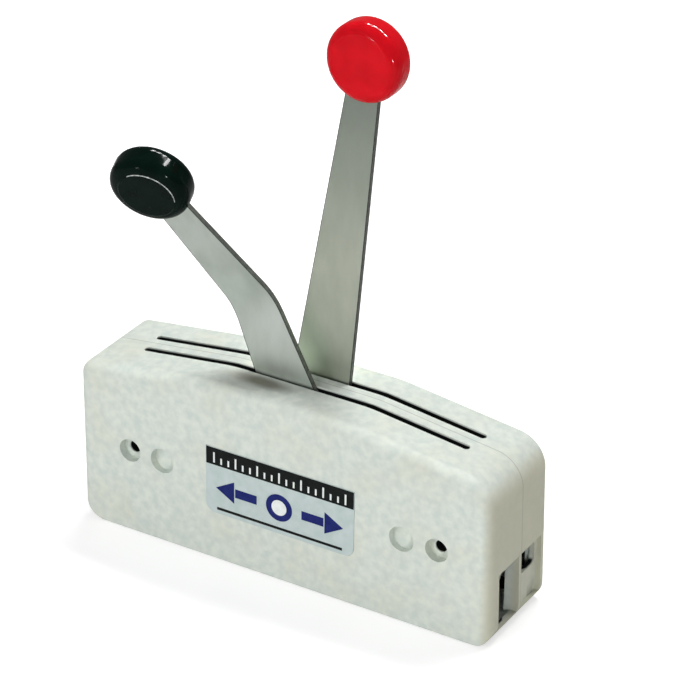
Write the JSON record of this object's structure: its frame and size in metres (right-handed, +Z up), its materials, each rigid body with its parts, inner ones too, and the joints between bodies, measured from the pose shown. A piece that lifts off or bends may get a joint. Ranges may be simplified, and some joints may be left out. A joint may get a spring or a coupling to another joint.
{
  "type": "boat throttle control lever",
  "caption": "Side-mount boat engine control: moulded two-shell housing, a bent shift lever with a black knob and a straight throttle lever with a red knob on one shaft, cables out of one end.",
  "frame": {"origin": "on the flat underside, in the parting plane of the two shells and midway between the mounting holes", "axes": "+X along the housing to the end where the cables leave, +Y out of the back face that is fastened to the boat's side, +Z up along the levers"},
  "size_m": [0.2203, 0.0784, 0.2709],
  "materials": {
    "housing": "fine moulded ABS, off-white",
    "label": "printed plastic plate",
    "stainless": "satin stainless plate",
    "steel": "zinc-plated steel",
    "spring_steel": "blued spring steel",
    "brass": "turned brass",
    "nylon": "natural nylon",
    "friction": "fibre friction disc",
    "black_knob": "polished phenolic",
    "red_knob": "polished phenolic"
  },
  "bodies": {
    "housing": {"front_shell": "housing", "back_shell": "housing", "label_plate": "label", "pivot_shaft": "steel", "centre_spacer": "nylon", "thrust_washer": "steel", "friction_disc": "friction", "pressure_plate": "steel", "spring_washer": "spring_steel", "detent_spring": "spring_steel", "detent_spring_screw": "steel", "shift_cable_strap": "steel", "throttle_cable_strap": "steel", "clamp_screws": "steel", "assembly_screws": "steel"},
    "shift_lever": {"shift_lever": "stainless", "shift_knob": "black_knob", "shift_knob_screw": "steel", "shift_bush": "nylon", "detent_disc": "steel", "detent_rivets": "steel"},
    "throttle_lever": {"throttle_lever": "stainless", "throttle_knob": "red_knob", "throttle_knob_screw": "steel", "throttle_bush": "nylon"},
    "shift_cable_pivot": {"shift_cable_pivot": "brass", "shift_pivot_clip": "spring_steel"},
    "throttle_cable_pivot": {"throttle_cable_pivot": "brass", "throttle_pivot_clip": "spring_steel"}
  },
  "joints": [
    {"name": "shift", "type": "hinge", "parent": "housing", "child": "shift_lever", "pos_m": [-0.002, 0, 0.07], "axis": [0, 1, 0], "range_deg": [-27.6, 76.4]},
    {"name": "throttle", "type": "hinge", "parent": "housing", "child": "throttle_lever", "pos_m": [-0.002, 0, 0.07], "axis": [0, 1, 0], "range_deg": [-73.4, 58.6]},
    {"name": "shift_cable_swivel", "type": "hinge", "parent": "shift_lever", "child": "shift_cable_pivot", "pos_m": [0.01618, -0.01185, 0.02993], "axis": [0, 1, 0], "range_deg": [-80, 80]},
    {"name": "throttle_cable_swivel", "type": "hinge", "parent": "throttle_lever", "child": "throttle_cable_pivot", "pos_m": [-0.00767, 0.01185, 0.02637], "axis": [0, 1, 0], "range_deg": [-80, 80]}
  ]
}
